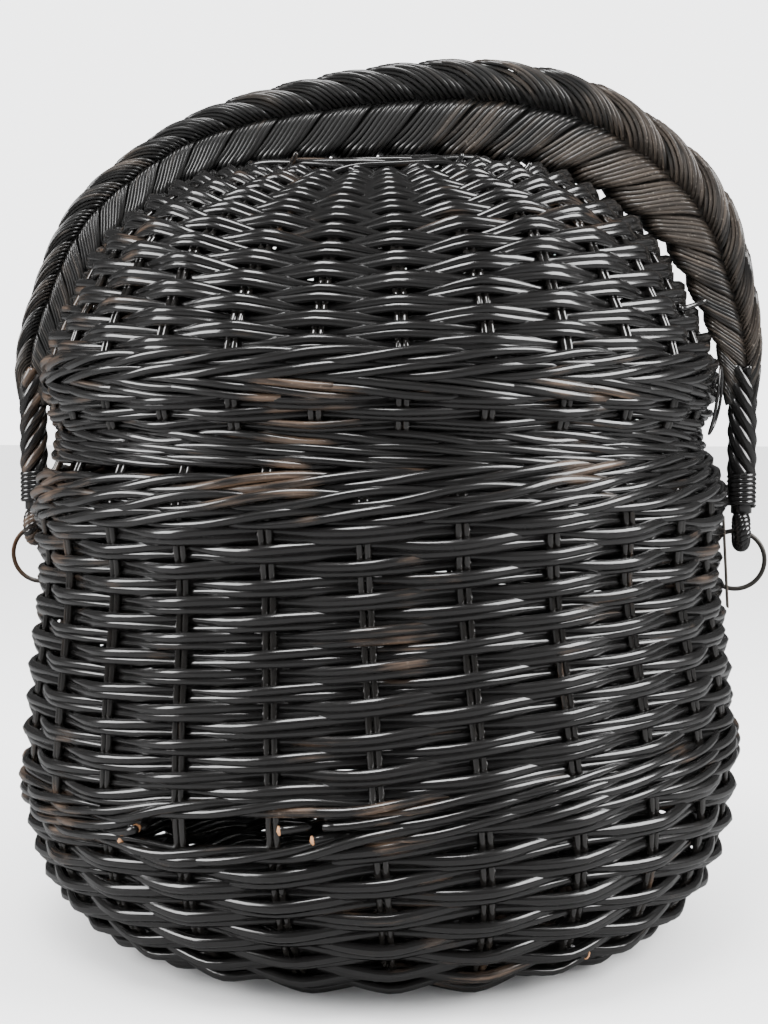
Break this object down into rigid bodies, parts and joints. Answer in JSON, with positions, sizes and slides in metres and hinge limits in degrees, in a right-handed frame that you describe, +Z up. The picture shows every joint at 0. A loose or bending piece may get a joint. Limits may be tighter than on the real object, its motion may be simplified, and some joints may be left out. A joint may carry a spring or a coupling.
{
  "type": "lidded wicker basket",
  "caption": "Round dark wicker basket with a domed loose lid and a plaited bow handle that swings on metal rings at its sides.",
  "frame": {"origin": "centre of the footprint, at floor level", "axes": "+Z up, handle's bow in the XZ plane with its rings at -X and +X, -Y towards the viewer"},
  "size_m": [0.332, 0.3116, 0.3669],
  "materials": {
    "body_weave": "black lacquered willow, glossy",
    "worn_weave": "black lacquered willow, worn to brown",
    "stakes": "black lacquered willow rods",
    "plait": "plaited rush or skeined willow, dull olive black",
    "iron": "dark worn iron wire",
    "strap": "flat dark brown strap"
  },
  "bodies": {
    "basket": {"base_weave": "worn_weave", "foot_wale": "worn_weave", "body_stakes": "stakes", "base_binding": "body_weave", "lower_siding": "body_weave", "mid_wale": "body_weave", "upper_siding": "body_weave", "top_wale": "body_weave", "rim_wale": "body_weave", "strap_left": "strap", "strap_right": "strap"},
    "lid": {"lid_weave": "body_weave", "lid_stakes": "stakes", "lid_binding": "worn_weave", "lid_wale": "body_weave", "lid_border": "worn_weave"},
    "handle": {"handle_core": "stakes", "handle_braid": "plait", "leg_twist_left": "body_weave", "leg_twist_right": "body_weave", "eye_wrap_left": "worn_weave", "eye_wrap_right": "worn_weave"},
    "ring_left": {"ring_left": "iron"},
    "ring_right": {"ring_right": "iron"}
  },
  "joints": [
    {"name": "lid_off", "type": "slide", "parent": "basket", "child": "lid", "axis": [0, 0.995, 0.0995], "range_m": [0, 0.305]},
    {"name": "handle_swing", "type": "hinge", "parent": "basket", "child": "handle", "pos_m": [0, 0, 0.169], "axis": [1, 0, 0], "range_deg": [-105, 105]},
    {"name": "ring_left_turn", "type": "hinge", "parent": "basket", "child": "ring_left", "pos_m": [-0.15255, 0, 0.1566], "axis": [0, 1, 0], "continuous": true},
    {"name": "ring_right_turn", "type": "hinge", "parent": "basket", "child": "ring_right", "pos_m": [0.15255, 0, 0.1566], "axis": [0, 1, 0], "continuous": true}
  ]
}
